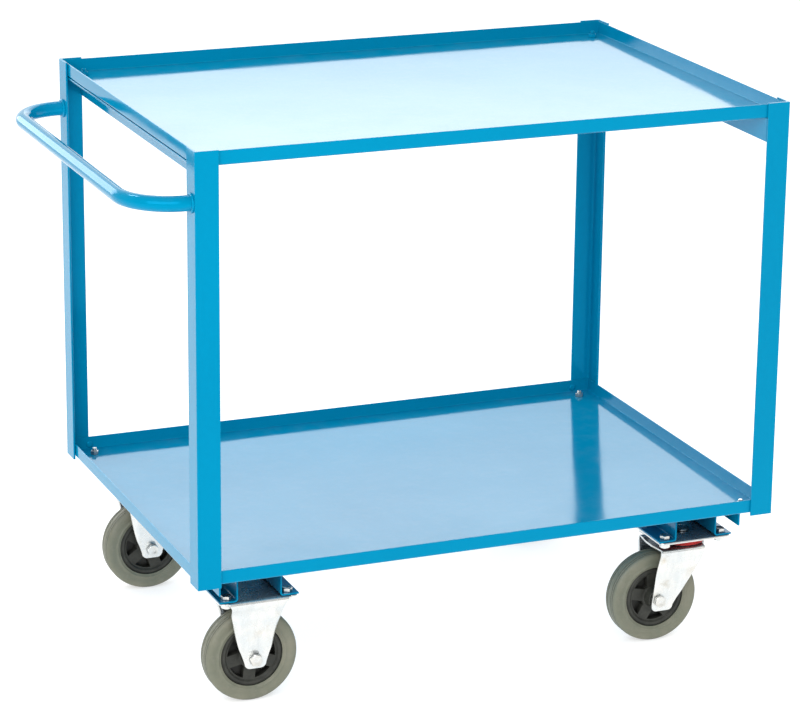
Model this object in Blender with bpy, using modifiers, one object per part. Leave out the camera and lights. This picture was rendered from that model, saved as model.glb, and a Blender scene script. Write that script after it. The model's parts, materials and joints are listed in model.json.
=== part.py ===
"""Two-tier tray trolley: angle-steel posts, two pressed trays, a tube push handle,
two fixed castors under the handle end and two swivel castors under the other end.

Frame: X runs along the trolley with the handle at -X, Y across it with the front at -Y,
Z up. The origin is on the floor, under the middle of the whole trolley.
"""

import math

import bmesh
import bpy
from mathutils import Matrix, Vector

# ---- driving dimensions, in metres -----------------------------------------------------
GAP = 0.0003                 # clearance left between pieces that touch

FRAME_LENGTH = 1.040         # over the outer faces of the posts
FRAME_DEPTH = 0.730
POST_BOTTOM = 0.237
POST_HEIGHT = 0.7245
POST_WIDTH = 0.040           # equal angle
POST_THICK = 0.004

TRAY_LIP = 0.024
TRAY_SHEET = 0.002
TRAY_BEND = 0.004
LOWER_TRAY_BOTTOM = POST_BOTTOM + 0.004
UPPER_TRAY_BOTTOM = POST_BOTTOM + POST_HEIGHT - 0.002 - TRAY_LIP

LOWER_BEARER_WIDTH = 0.030
LOWER_BEARER_THICK = 0.003
LOWER_BEARER_END = 0.337     # half length of a lower bearer
LOWER_BEARER_OUTER = 0.502   # its outer edge, from the middle of the frame

HANDLE_RADIUS = 0.0127
HANDLE_HEIGHT = POST_BOTTOM + 0.640
HANDLE_HALF_SPAN = 0.348
HANDLE_REACH = 0.092         # from the posts to the middle of the bar
HANDLE_BEND = 0.085

WHEEL_RADIUS = 0.080
RIM_RADIUS = 0.0537
TYRE_HALF_WIDTH = 0.018
TREAD_HALF_WIDTH = 0.0125
HUB_RADIUS = 0.017
HUB_HALF_LENGTH = 0.029
SPOKES = 5

CASTOR_HEIGHT = 0.193
CASTOR_Y = 0.274             # castors from the middle of the frame
FIXED_CASTOR_X = -0.402
SWIVEL_CASTOR_X = 0.3955
SWIVEL_TRAIL = 0.056         # axle behind the swivel axis, towards the handle

PLATE_LENGTH = 0.135         # along X
PLATE_DEPTH = 0.110
PLATE_BOLT_X = 0.0525        # bolt holes from the castor's middle
PLATE_BOLT_Y = 0.040
PLATE_CORNER = 0.008
SWIVEL_PLATE_THICK = 0.004
FORK_SHEET = 0.0035
FORK_INNER = 0.030           # half of the space between a fork's legs
EDGE_ROLL = 0.007            # how far a bracket's edges roll in towards the wheel
CROWN_TOP = 0.176
CROWN_BOTTOM = 0.163
CROWN_RADIUS = 0.040
SEAL_RADIUS = 0.0395

AXLE_RADIUS = 0.006
AXLE_HEX = 0.019             # across flats
AXLE_HEAD = 0.0075
AXLE_NUT = 0.010
MOUNT_BOLT_RADIUS = 0.005
MOUNT_HEX = 0.016
MOUNT_HEAD = 0.0064
MOUNT_NUT = 0.0080
KING_PIN_RADIUS = 0.008

BEAM_TOP_WIDTH = 0.079       # over the webs of the hat section
BEAM_WIDTH = 0.138           # over its flanges
BEAM_THICK = 0.003
BEAM_HALF_LENGTH = 0.327

WHEEL_STEPS = 32
CENTRE_STEPS = 24
BOLT_SIDES = 8
# The handle reaches past the posts, so the frame's middle lies this far along +X.
FRAME_X = (HANDLE_REACH + HANDLE_RADIUS) / 2


# ---- scene and materials ---------------------------------------------------------------
def clear_scene():
    for obj in list(bpy.data.objects):
        bpy.data.objects.remove(obj)


def new_collection(name):
    collection = bpy.data.collections.new(name)
    bpy.context.scene.collection.children.link(collection)
    return collection


def new_material(name, colour, roughness, metallic=0.0):
    material = bpy.data.materials.new(name)
    material.use_nodes = True
    shader = material.node_tree.nodes["Principled BSDF"]
    shader.inputs["Base Color"].default_value = (*colour, 1.0)
    shader.inputs["Roughness"].default_value = roughness
    shader.inputs["Metallic"].default_value = metallic
    return material


clear_scene()
PARTS = new_collection("tray_trolley")
CUTTERS = new_collection("cutters")
BLUE_PAINT = new_material("blue_paint", (0.0, 0.30, 0.56), 0.15)
ZINC = new_material("zinc_plate", (0.75, 0.76, 0.76), 0.25, 1.0)
GREY_RUBBER = new_material("grey_rubber", (0.20, 0.21, 0.18), 0.60)
DARK_PLASTIC = new_material("dark_plastic", (0.035, 0.032, 0.030), 0.40)
RED_PLASTIC = new_material("red_plastic", (0.55, 0.04, 0.04), 0.40)


# ---- building blocks -------------------------------------------------------------------
def add_object(name, data, material=None, collection=None):
    obj = bpy.data.objects.new(name, data)
    (collection or PARTS).objects.link(obj)
    if material:
        data.materials.append(material)
    return obj


def add_bmesh(name, bm, material=None, collection=None):
    mesh = bpy.data.meshes.new(name)
    bm.to_mesh(mesh)
    bm.free()
    return add_object(name, mesh, material, collection)


def add_part(name, mesh, material, location, parent=None):
    """A piece that shares its mesh with its repeats."""
    if not mesh.materials:
        mesh.materials.append(material)
    obj = bpy.data.objects.new(name, mesh)
    PARTS.objects.link(obj)
    obj.location = location
    obj.parent = parent
    return obj


def add_empty(name, location, parent=None):
    empty = bpy.data.objects.new(name, None)
    PARTS.objects.link(empty)
    empty.empty_display_size = 0.03
    empty.location = location
    empty.parent = parent
    return empty


def cylinder(radius, start, end, axis="Z", sides=BOLT_SIDES, centre=(0, 0, 0), flats=False):
    """A closed prism or cylinder between two places on an axis."""
    if flats:
        radius = radius / math.cos(math.pi / sides)
    bm = bmesh.new()
    bmesh.ops.create_cone(
        bm, cap_ends=True, segments=sides, radius1=radius, radius2=radius, depth=end - start
    )
    bmesh.ops.translate(bm, verts=bm.verts, vec=(0, 0, (start + end) / 2))
    if axis == "Y":
        turn = Matrix.Rotation(math.radians(-90), 3, "X")
        bmesh.ops.rotate(bm, verts=bm.verts, matrix=turn)
    bmesh.ops.translate(bm, verts=bm.verts, vec=centre)
    return bm


def evaluated_mesh(obj, name):
    """The object's mesh with its modifiers applied, leaving the object behind."""
    bpy.context.view_layer.update()
    graph = bpy.context.evaluated_depsgraph_get()
    mesh = bpy.data.meshes.new_from_object(obj.evaluated_get(graph))
    bm = bmesh.new()
    bm.from_mesh(mesh)
    bmesh.ops.remove_doubles(bm, verts=bm.verts, dist=0.00001)
    bmesh.ops.transform(bm, matrix=obj.matrix_world, verts=bm.verts)
    bm.to_mesh(mesh)
    bm.free()
    mesh.name = name
    bpy.data.objects.remove(obj)
    return mesh


def combine(base, tools, operation, name):
    """Join or cut a base object with each tool in turn, and return the mesh."""
    for tool in tools:
        tool.hide_render = True
        tool.display_type = "WIRE"
        step = base.modifiers.new("step", "BOOLEAN")
        step.operation = operation
        step.object = tool
        step.solver = "EXACT"
    mesh = evaluated_mesh(base, name)
    for tool in tools:
        bpy.data.objects.remove(tool)
    return mesh


def holes(radius, start, end, places, sides=BOLT_SIDES):
    """Cutters for round holes along Z."""
    cutters = []
    for x, y in places:
        drill = cylinder(radius, start, end, sides=sides, centre=(x, y, 0))
        cutters.append(add_bmesh("hole", drill, collection=CUTTERS))
    return cutters


def extrusion(name, outline, length, material, matrix):
    """A flat outline made into a bar: a 2D curve extruded by half its length each way."""
    curve = bpy.data.curves.new(name, "CURVE")
    curve.dimensions = "2D"
    curve.fill_mode = "BOTH"
    curve.extrude = length / 2
    spline = curve.splines.new("POLY")
    spline.points.add(len(outline) - 1)
    for point, (x, y) in zip(spline.points, outline):
        point.co = (x, y, 0, 1)
    spline.use_cyclic_u = True
    obj = add_object(name, curve, material)
    obj.matrix_world = matrix
    return obj


def angle_outline(width, drop, thick, side_x, side_y):
    """An angle section with its corner at the origin and its flanges along side_x, side_y."""
    outline = [
        (0, 0), (width, 0), (width, thick), (thick, thick), (thick, drop), (0, drop),
    ]
    return [(side_x * x, side_y * y) for x, y in outline]


def rounded_plate(length, depth, bottom, top, corner):
    bm = bmesh.new()
    bmesh.ops.create_cube(bm, size=1.0)
    bmesh.ops.scale(bm, verts=bm.verts, vec=(length, depth, top - bottom))
    bmesh.ops.translate(bm, verts=bm.verts, vec=(0, 0, (bottom + top) / 2))
    uprights = [e for e in bm.edges if abs(e.verts[0].co.z - e.verts[1].co.z) > 1e-6]
    bmesh.ops.bevel(bm, geom=uprights, offset=corner, segments=3, profile=0.5, affect="EDGES")
    return bm


def turned(name, profile, steps):
    """A closed profile of (radius, height) points turned about Z by a modifier."""
    bm = bmesh.new()
    ring = [bm.verts.new((radius, 0, height)) for radius, height in profile]
    for first, second in zip(ring, ring[1:] + ring[:1]):
        bm.edges.new((first, second))
    obj = add_bmesh(name, bm)
    screw = obj.modifiers.new("turn", "SCREW")
    screw.steps = steps
    screw.render_steps = steps
    screw.use_merge_vertices = True
    screw.merge_threshold = 0.00001
    screw.use_normal_calculate = True
    return obj


def smooth(mesh, angle=35):
    mesh.shade_smooth()
    mesh.set_sharp_from_angle(angle=math.radians(angle))
    return mesh


# ---- frame -----------------------------------------------------------------------------
ENDS = (("left", -1), ("right", 1))
SIDES = (("front", -1), ("rear", 1))


def make_posts():
    for end, sx in ENDS:
        for side, sy in SIDES:
            corner = Vector((
                FRAME_X + sx * FRAME_LENGTH / 2,
                sy * FRAME_DEPTH / 2,
                POST_BOTTOM + POST_HEIGHT / 2,
            ))
            outline = angle_outline(POST_WIDTH, POST_WIDTH, POST_THICK, -sx, -sy)
            extrusion(
                f"post_{side}_{end}", outline, POST_HEIGHT, BLUE_PAINT,
                Matrix.Translation(corner),
            )


def make_tray(name, bottom):
    """A pressed pan: a box without its lid, bent at the foot of the lips, then thickened."""
    inset = POST_THICK + GAP
    length = FRAME_LENGTH - 2 * inset
    depth = FRAME_DEPTH - 2 * inset
    bm = bmesh.new()
    bmesh.ops.create_cube(bm, size=1.0)
    bmesh.ops.scale(bm, verts=bm.verts, vec=(length, depth, TRAY_LIP))
    lid = [f for f in bm.faces if f.normal.z > 0.9]
    bmesh.ops.delete(bm, geom=lid, context="FACES")
    foot = [e for e in bm.edges if all(v.co.z < 0 for v in e.verts)]
    bmesh.ops.bevel(bm, geom=foot, offset=TRAY_BEND, segments=2, profile=0.5, affect="EDGES")
    tray = add_bmesh(name, bm, BLUE_PAINT)
    tray.location = (FRAME_X, 0, bottom + TRAY_LIP / 2)
    shell = tray.modifiers.new("sheet", "SOLIDIFY")
    shell.thickness = TRAY_SHEET
    shell.offset = -1.0
    shell.use_even_offset = True


def make_bearers():
    """Angles under each end of each tray, the upper ones out to the posts."""
    stand = Matrix.Rotation(math.radians(90), 4, "X")
    for end, sx in ENDS:
        inner = FRAME_LENGTH / 2 - POST_WIDTH
        reach = POST_WIDTH - POST_THICK - GAP
        upper = angle_outline(reach, POST_WIDTH, POST_THICK, sx, -1)
        place = Matrix.Translation((FRAME_X + sx * inner, 0, UPPER_TRAY_BOTTOM - GAP))
        extrusion(
            f"bearer_upper_{end}", upper, FRAME_DEPTH - 2 * (POST_THICK + GAP), BLUE_PAINT,
            place @ stand,
        )
        lower = angle_outline(
            LOWER_BEARER_WIDTH, LOWER_BEARER_WIDTH, LOWER_BEARER_THICK, sx, -1
        )
        inner = LOWER_BEARER_OUTER - LOWER_BEARER_WIDTH
        place = Matrix.Translation((FRAME_X + sx * inner, 0, LOWER_TRAY_BOTTOM - GAP))
        extrusion(
            f"bearer_lower_{end}", lower, 2 * LOWER_BEARER_END, BLUE_PAINT, place @ stand
        )


def make_handle():
    """A tube bent into a flat U, butted to the end faces of the two posts at -X."""
    start = FRAME_X - FRAME_LENGTH / 2 - GAP
    bar = FRAME_X - FRAME_LENGTH / 2 - HANDLE_REACH
    half = HANDLE_HALF_SPAN
    quarter = [math.radians(90 * step / 8) for step in range(9)]
    near = [
        (bar + HANDLE_BEND * (1 - math.sin(a)), -half + HANDLE_BEND * (1 - math.cos(a)))
        for a in quarter
    ]
    route = [(start, -half)] + near
    route += [(x, -y) for x, y in reversed(route)]
    curve = bpy.data.curves.new("push_handle", "CURVE")
    curve.dimensions = "3D"
    curve.bevel_depth = HANDLE_RADIUS
    curve.bevel_resolution = 4
    curve.use_fill_caps = True
    spline = curve.splines.new("POLY")
    spline.points.add(len(route) - 1)
    for point, (x, y) in zip(spline.points, route):
        point.co = (x, y, HANDLE_HEIGHT, 1)
    add_object("push_handle", curve, BLUE_PAINT)


def bolt_places(castor_y):
    return [
        (sx * PLATE_BOLT_X, castor_y + sy * PLATE_BOLT_Y)
        for sx in (-1, 1)
        for sy in (-1, 1)
    ]


def make_castor_beams():
    """Hat sections across the underside, each carrying two castors on its flanges."""
    half_top = BEAM_TOP_WIDTH / 2
    half = BEAM_WIDTH / 2
    thick = BEAM_THICK
    top = LOWER_TRAY_BOTTOM - GAP
    foot = CASTOR_HEIGHT + GAP
    right = [
        (half_top, top), (half_top, foot + thick), (half, foot + thick), (half, foot),
        (half_top - thick, foot), (half_top - thick, top - thick),
    ]
    outline = right + [(-x, z) for x, z in reversed(right)]
    stand = Matrix.Rotation(math.radians(90), 4, "X")
    places = bolt_places(-CASTOR_Y) + bolt_places(CASTOR_Y)
    for end, centre in (("left", FIXED_CASTOR_X), ("right", SWIVEL_CASTOR_X)):
        bar = extrusion("bar", outline, 2 * BEAM_HALF_LENGTH, BLUE_PAINT, stand)
        body = add_object("body", evaluated_mesh(bar, "body"), BLUE_PAINT)
        cutters = holes(MOUNT_BOLT_RADIUS + GAP, foot - 0.01, foot + 0.01, places)
        mesh = combine(body, cutters, "DIFFERENCE", f"castor_beam_{end}")
        add_part(f"castor_beam_{end}", mesh, BLUE_PAINT, (FRAME_X + centre, 0, 0))


# ---- castors ---------------------------------------------------------------------------
def tyre_mesh():
    """A solid tyre with a flat tread, sloping shoulders and a raised bead at the rim."""
    half = [
        (WHEEL_RADIUS, TREAD_HALF_WIDTH),
        (WHEEL_RADIUS - 0.0025, TYRE_HALF_WIDTH - 0.0015),
        (WHEEL_RADIUS - 0.008, TYRE_HALF_WIDTH),
        (RIM_RADIUS + 0.0075, TYRE_HALF_WIDTH),
        (RIM_RADIUS + GAP, TYRE_HALF_WIDTH - 0.002),
    ]
    profile = half + [(radius, -height) for radius, height in reversed(half)]
    return smooth(evaluated_mesh(turned("tyre", profile, WHEEL_STEPS), "tyre"))


def wheel_centre_mesh():
    """A moulded centre: hub, thin web and rim, with wide spokes on both faces."""
    rim_half = TYRE_HALF_WIDTH - 0.003
    rim_inner = RIM_RADIUS - 0.007
    web_half = 0.004
    bore = AXLE_RADIUS + GAP
    half = [
        (RIM_RADIUS, rim_half),
        (rim_inner, rim_half),
        (rim_inner, web_half),
        (HUB_RADIUS, web_half),
        (HUB_RADIUS, HUB_HALF_LENGTH),
        (bore, HUB_HALF_LENGTH),
    ]
    profile = half + [(radius, -height) for radius, height in reversed(half)]
    centre = add_object("centre", evaluated_mesh(turned("centre", profile, CENTRE_STEPS), "centre"))
    spokes = []
    start = bore + 0.006
    end = rim_inner + 0.003
    for index in range(SPOKES):
        bm = bmesh.new()
        bmesh.ops.create_cube(bm, size=1.0)
        bmesh.ops.scale(bm, verts=bm.verts, vec=(end - start, 0.016, 2 * rim_half - 0.006))
        bmesh.ops.translate(bm, verts=bm.verts, vec=((start + end) / 2, 0, 0))
        turn = Matrix.Rotation(math.tau * (index + 0.25) / SPOKES, 3, "Z")
        bmesh.ops.rotate(bm, verts=bm.verts, matrix=turn)
        spokes.append(add_bmesh("spoke", bm, collection=CUTTERS))
    return smooth(combine(centre, spokes, "UNION", "wheel_centre"))


def lay_on_side(mesh):
    """Turn a mesh made about Z so that its axis is Y."""
    mesh.transform(Matrix.Rotation(math.radians(90), 4, "X"))
    return mesh


def leg_foot(offset, bottom, left, right, corner, steps=3):
    """Stations round a leg's two lower corners, up to its full width."""
    stations = []
    for step in range(steps + 1):
        angle = math.radians(90 * step / steps)
        height = bottom + corner * (1 - math.cos(angle))
        inset = corner * (1 - math.sin(angle))
        stations.append((offset, height, left + inset, right - inset, 0.0))
    return stations


def pressed_fork(name, half):
    """A sheet loft: up one leg, over the top and down the other, then thickened.

    A station holds the sheet's offset from the wheel's plane, its height, its left and
    right edges, and how far those edges roll in towards the wheel.
    """
    rows = [(-y, z, left, right, -roll) for y, z, left, right, roll in half]
    rows += reversed(half)
    across = (-1.0, -0.8, 0.0, 0.8, 1.0)
    bm = bmesh.new()
    bmesh.ops.create_grid(bm, x_segments=len(across) - 1, y_segments=len(rows) - 1, size=0.5)
    for vert in bm.verts:
        column = round((vert.co.x + 0.5) * (len(across) - 1))
        row = round((vert.co.y + 0.5) * (len(rows) - 1))
        y, z, left, right, roll = rows[row]
        along = across[column]
        vert.co = (
            (left + right) / 2 + along * (right - left) / 2,
            y - (roll if abs(along) == 1.0 else 0.0),
            z,
        )
    obj = add_bmesh(name, bm)
    sheet = obj.modifiers.new("sheet", "SOLIDIFY")
    sheet.thickness = FORK_SHEET
    sheet.offset = 0.0
    sheet.use_even_offset = True
    return evaluated_mesh(obj, name)


def fixed_bracket_mesh():
    """A one-piece bracket: the legs taper out and bend over into the castor's plate."""
    leg = FORK_INNER + FORK_SHEET / 2
    top = CASTOR_HEIGHT - FORK_SHEET / 2 + GAP
    edge = PLATE_DEPTH / 2 - FORK_SHEET / 2
    legs = pressed_fork("legs", [
        *leg_foot(leg, 0.064, -0.0190, 0.0190, 0.010),
        (leg, 0.090, -0.0243, 0.0243, 0.0),
        (leg + 0.0025, 0.1025, -0.0280, 0.0280, 0.4 * EDGE_ROLL),
        (leg + 0.0075, 0.131, -0.0350, 0.0350, EDGE_ROLL),
        (leg + 0.0135, 0.154, -0.0405, 0.0405, EDGE_ROLL),
        (leg + 0.0150, 0.168, -0.0445, 0.0445, 0.5 * EDGE_ROLL),
        (edge - 0.0015, 0.179, -0.0465, 0.0465, 0.0),
        (edge, 0.187, -0.0500, 0.0500, 0.0),
        (edge - 0.0010, top, -0.0540, 0.0540, 0.0),
        (0.014, top, -0.0540, 0.0540, 0.0),
    ])
    for vert in legs.vertices:
        vert.co.z = min(vert.co.z, CASTOR_HEIGHT - GAP)
    plate = rounded_plate(
        PLATE_LENGTH, PLATE_DEPTH, CASTOR_HEIGHT - FORK_SHEET, CASTOR_HEIGHT, PLATE_CORNER
    )
    bent = combine(
        add_bmesh("plate", plate), [add_object("legs", legs, collection=CUTTERS)],
        "UNION", "bent",
    )
    cutters = holes(
        MOUNT_BOLT_RADIUS + GAP, CASTOR_HEIGHT - 0.008, CASTOR_HEIGHT + 0.008, bolt_places(0)
    )
    bore = cylinder(
        AXLE_RADIUS + GAP, -0.06, 0.06, axis="Y", centre=(0, 0, WHEEL_RADIUS)
    )
    cutters.append(add_bmesh("bore", bore, collection=CUTTERS))
    return smooth(combine(add_object("bent", bent), cutters, "DIFFERENCE", "fixed_bracket"))


def swivel_fork_mesh():
    """Legs raked back from a round crown; made about the swivel axis."""
    leg = FORK_INNER + FORK_SHEET / 2
    flat = CROWN_TOP - 0.001 - FORK_SHEET / 2
    axle = -SWIVEL_TRAIL
    sheet = add_object("fork", pressed_fork("fork", [
        *leg_foot(leg, 0.0605, axle - 0.0137, axle + 0.0260, 0.009),
        (leg, 0.080, axle - 0.0130, axle + 0.0327, 0.0),
        (leg, 0.092, axle - 0.0112, axle + 0.0420, 0.0),
        (leg + 0.001, 0.105, axle - 0.0095, axle + 0.0502, 0.1 * EDGE_ROLL),
        (leg + 0.004, 0.130, axle - 0.0070, axle + 0.0660, 0.3 * EDGE_ROLL),
        (leg + 0.009, 0.150, axle - 0.0055, axle + 0.0745, 0.3 * EDGE_ROLL),
        (leg + 0.012, 0.167, axle - 0.0042, axle + 0.0795, 0.1 * EDGE_ROLL),
        (leg + 0.0115, 0.1715, axle - 0.0035, axle + 0.0800, 0.0),
        (leg + 0.0090, flat, axle - 0.0025, axle + 0.0800, 0.0),
        (0.012, flat, axle - 0.0060, axle + 0.0850, 0.0),
    ]))
    bm = bmesh.new()
    bmesh.ops.create_cone(
        bm, cap_ends=True, segments=CENTRE_STEPS, radius1=CROWN_RADIUS + 0.001,
        radius2=CROWN_RADIUS, depth=CROWN_TOP - CROWN_BOTTOM,
    )
    bmesh.ops.translate(bm, verts=bm.verts, vec=(0, 0, (CROWN_TOP + CROWN_BOTTOM) / 2))
    crown_disc = add_bmesh("crown", bm, collection=CUTTERS)
    joined = add_object("joined", combine(sheet, [crown_disc], "UNION", "joined"))
    cutters = holes(
        KING_PIN_RADIUS + GAP, CROWN_BOTTOM - 0.02, CROWN_TOP + 0.02, [(0, 0)], CENTRE_STEPS
    )
    bore = cylinder(
        AXLE_RADIUS + GAP, -0.06, 0.06, axis="Y", centre=(axle, 0, WHEEL_RADIUS)
    )
    cutters.append(add_bmesh("bore", bore, collection=CUTTERS))
    return smooth(combine(joined, cutters, "DIFFERENCE", "swivel_fork"))


def swivel_plate_mesh():
    bm = rounded_plate(
        PLATE_LENGTH, PLATE_DEPTH, CASTOR_HEIGHT - SWIVEL_PLATE_THICK, CASTOR_HEIGHT,
        PLATE_CORNER,
    )
    plate = add_bmesh("plate", bm)
    cutters = holes(
        MOUNT_BOLT_RADIUS + GAP, CASTOR_HEIGHT - 0.01, CASTOR_HEIGHT + 0.01, bolt_places(0)
    )
    cutters += holes(
        KING_PIN_RADIUS + GAP, CASTOR_HEIGHT - 0.01, CASTOR_HEIGHT + 0.01, [(0, 0)],
        CENTRE_STEPS,
    )
    return combine(plate, cutters, "DIFFERENCE", "swivel_plate")


def dust_seal_mesh():
    """The seal ring between the castor's plate and the fork's crown."""
    bottom = CROWN_TOP + GAP
    top = CASTOR_HEIGHT - SWIVEL_PLATE_THICK - GAP
    inner = SEAL_RADIUS - 0.012
    profile = [
        (SEAL_RADIUS - 0.002, top), (SEAL_RADIUS, (bottom + top) / 2),
        (SEAL_RADIUS - 0.002, bottom), (inner, bottom), (inner, top),
    ]
    return smooth(evaluated_mesh(turned("seal", profile, CENTRE_STEPS), "dust_seal"))


def king_pin_mesh():
    """A pin through plate and crown, with a flat head above and a nut below."""
    head_top = CASTOR_HEIGHT + GAP + 0.005
    head = cylinder(0.013, CASTOR_HEIGHT + GAP, head_top, sides=18)
    shank = cylinder(
        KING_PIN_RADIUS, CROWN_BOTTOM - 0.012, head_top - 0.001, sides=CENTRE_STEPS
    )
    pin = add_bmesh("pin", shank)
    nut = cylinder(
        0.012, CROWN_BOTTOM - 0.0105, CROWN_BOTTOM - GAP, sides=6, flats=True
    )
    tools = [
        add_bmesh("head", head, collection=CUTTERS),
        add_bmesh("nut", nut, collection=CUTTERS),
    ]
    return combine(pin, tools, "UNION", "king_pin")


def mount_bolt_mesh(plate_thick):
    """Hex bolt down through flange and plate, with its nut below the plate."""
    seat = CASTOR_HEIGHT + GAP + BEAM_THICK + GAP
    under = CASTOR_HEIGHT - plate_thick - GAP
    shank = add_bmesh(
        "shank", cylinder(MOUNT_BOLT_RADIUS, under - MOUNT_NUT - 0.002, seat + 0.001)
    )
    tools = [
        add_bmesh(
            "hex", cylinder(MOUNT_HEX / 2, low, high, sides=6, flats=True), collection=CUTTERS
        )
        for low, high in ((seat, seat + MOUNT_HEAD), (under - MOUNT_NUT, under))
    ]
    return combine(shank, tools, "UNION", "mount_bolt")


def axle_bolt_mesh():
    """Bolt along Y with its hex head on the front side."""
    seat = FORK_INNER + FORK_SHEET + GAP
    end = seat + AXLE_NUT + 0.003
    shank = add_bmesh("shank", cylinder(AXLE_RADIUS, -seat - 0.001, end, axis="Y"))
    head = cylinder(AXLE_HEX / 2, -seat - AXLE_HEAD, -seat, axis="Y", sides=6, flats=True)
    return combine(shank, [add_bmesh("head", head, collection=CUTTERS)], "UNION", "axle_bolt")


def axle_nut_mesh():
    seat = FORK_INNER + FORK_SHEET + GAP
    nut = cylinder(AXLE_HEX / 2, seat, seat + AXLE_NUT, axis="Y", sides=6, flats=True)
    bore = cylinder(AXLE_RADIUS + GAP, seat - 0.01, seat + AXLE_NUT + 0.01, axis="Y")
    return combine(
        add_bmesh("nut", nut), [add_bmesh("bore", bore, collection=CUTTERS)],
        "DIFFERENCE", "axle_nut",
    )


def make_castors():
    tyre = lay_on_side(tyre_mesh())
    centre = lay_on_side(wheel_centre_mesh())
    bolt = axle_bolt_mesh()
    nut = axle_nut_mesh()
    bracket = fixed_bracket_mesh()
    fork = swivel_fork_mesh()
    plate = swivel_plate_mesh()
    seal = dust_seal_mesh()
    pin = king_pin_mesh()
    fixed_mount = mount_bolt_mesh(FORK_SHEET)
    swivel_mount = mount_bolt_mesh(SWIVEL_PLATE_THICK)

    for side, sy in SIDES:
        for end, sx in ENDS:
            swivels = sx > 0
            tag = f"{side}_{end}"
            castor_x = FRAME_X + (SWIVEL_CASTOR_X if swivels else FIXED_CASTOR_X)
            castor_y = sy * CASTOR_Y
            trail = SWIVEL_TRAIL if swivels else 0.0
            turn = add_empty(f"castor_axis_{tag}", (castor_x, castor_y, 0))
            hub = add_empty(f"wheel_axis_{tag}", (-trail, 0, WHEEL_RADIUS), turn)
            add_part(f"tyre_{tag}", tyre, GREY_RUBBER, (0, 0, 0), hub)
            add_part(f"wheel_centre_{tag}", centre, DARK_PLASTIC, (0, 0, 0), hub)
            axle = (-trail, 0, WHEEL_RADIUS)
            add_part(f"axle_bolt_{tag}", bolt, ZINC, axle, turn)
            add_part(f"axle_nut_{tag}", nut, ZINC, axle, turn)
            if swivels:
                add_part(f"swivel_fork_{tag}", fork, ZINC, (0, 0, 0), turn)
                add_part(f"dust_seal_{tag}", seal, RED_PLASTIC, (0, 0, 0), turn)
                add_part(f"swivel_plate_{tag}", plate, ZINC, (castor_x, castor_y, 0))
                add_part(f"king_pin_{tag}", pin, ZINC, (castor_x, castor_y, 0))
            else:
                add_part(f"fixed_bracket_{tag}", bracket, ZINC, (0, 0, 0), turn)
            mount = swivel_mount if swivels else fixed_mount
            for index, (x, y) in enumerate(bolt_places(castor_y), start=1):
                name = f"mount_bolt_{tag}_{index}"
                add_part(name, mount, ZINC, (castor_x + x, y, 0))


make_posts()
make_tray("tray_lower", LOWER_TRAY_BOTTOM)
make_tray("tray_upper", UPPER_TRAY_BOTTOM)
make_bearers()
make_handle()
make_castor_beams()
make_castors()
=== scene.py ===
"""A two-tier tray trolley: glossy blue steelwork on zinc-plated castors with grey tyres."""
import json
import math

import bmesh
import bpy
from mathutils import Matrix, Vector, noise

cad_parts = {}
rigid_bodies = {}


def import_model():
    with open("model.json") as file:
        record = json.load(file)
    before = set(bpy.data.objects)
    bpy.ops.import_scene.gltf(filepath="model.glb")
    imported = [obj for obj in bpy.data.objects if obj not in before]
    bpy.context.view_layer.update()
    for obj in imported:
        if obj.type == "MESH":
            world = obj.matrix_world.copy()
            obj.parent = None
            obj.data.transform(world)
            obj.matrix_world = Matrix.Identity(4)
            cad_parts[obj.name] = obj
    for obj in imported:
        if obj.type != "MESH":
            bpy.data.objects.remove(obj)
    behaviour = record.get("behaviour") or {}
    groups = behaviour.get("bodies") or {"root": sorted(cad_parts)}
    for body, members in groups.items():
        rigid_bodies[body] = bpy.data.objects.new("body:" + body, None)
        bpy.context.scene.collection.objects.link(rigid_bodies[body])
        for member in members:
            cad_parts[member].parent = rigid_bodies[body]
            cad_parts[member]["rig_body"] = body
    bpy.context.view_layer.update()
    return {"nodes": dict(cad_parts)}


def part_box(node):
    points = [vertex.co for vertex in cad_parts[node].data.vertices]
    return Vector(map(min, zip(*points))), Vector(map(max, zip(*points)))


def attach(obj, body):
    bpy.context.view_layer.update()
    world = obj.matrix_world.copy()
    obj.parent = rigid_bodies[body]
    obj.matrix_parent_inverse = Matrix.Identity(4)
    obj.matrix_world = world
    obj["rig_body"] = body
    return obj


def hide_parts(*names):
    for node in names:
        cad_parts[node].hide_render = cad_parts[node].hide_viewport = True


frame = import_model()
NODES = frame["nodes"]

# ---- sizes, in metres ------------------------------------------------------------------
POST_THICK = 0.004
BEARER_THICK = 0.003
ROOT_RADIUS = 0.0045
TOE_RADIUS = 0.0022
TRAY_SHEET = 0.002
TRAY_BEND = 0.004
BEAM_THICK = 0.003
BEAM_TOP_WIDTH = 0.079
HANDLE_RADIUS = 0.0127
HANDLE_BEND = 0.085
WHEEL_RADIUS = 0.080
RIM_RADIUS = 0.0537
HUB_HALF = 0.029
AXLE_BORE = 0.0063
BORE_REACH = 0.06
SPOKES = 5
FORK_SHEET = 0.0035
FORK_INNER = 0.030
EDGE_ROLL = 0.007
CASTOR_HEIGHT = 0.193
PLATE_LENGTH = 0.135
PLATE_DEPTH = 0.110
PLATE_CORNER = 0.008
PLATE_HOLE_X = 0.0525
PLATE_HOLE_Y = 0.040
SWIVEL_PLATE_THICK = 0.004
SWIVEL_TRAIL = 0.056
CROWN_TOP = 0.176
CROWN_BOTTOM = 0.163
SEAL_RADIUS = 0.0395
MOUNT_THREAD = 0.005
MOUNT_HEX = 0.016
MOUNT_HEAD = 0.0064
MOUNT_NUT = 0.008
MOUNT_TAIL = 0.002
AXLE_THREAD = 0.006
AXLE_HEX = 0.019
AXLE_HEAD = 0.0075
SHANK_OVERLAP = 0.0008
PIN_RADIUS = 0.008
TRAY_BOLT_THREAD = 0.004
TRAY_BOLT_HEX = 0.013
TRAY_BOLT_HEAD = 0.0053
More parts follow.
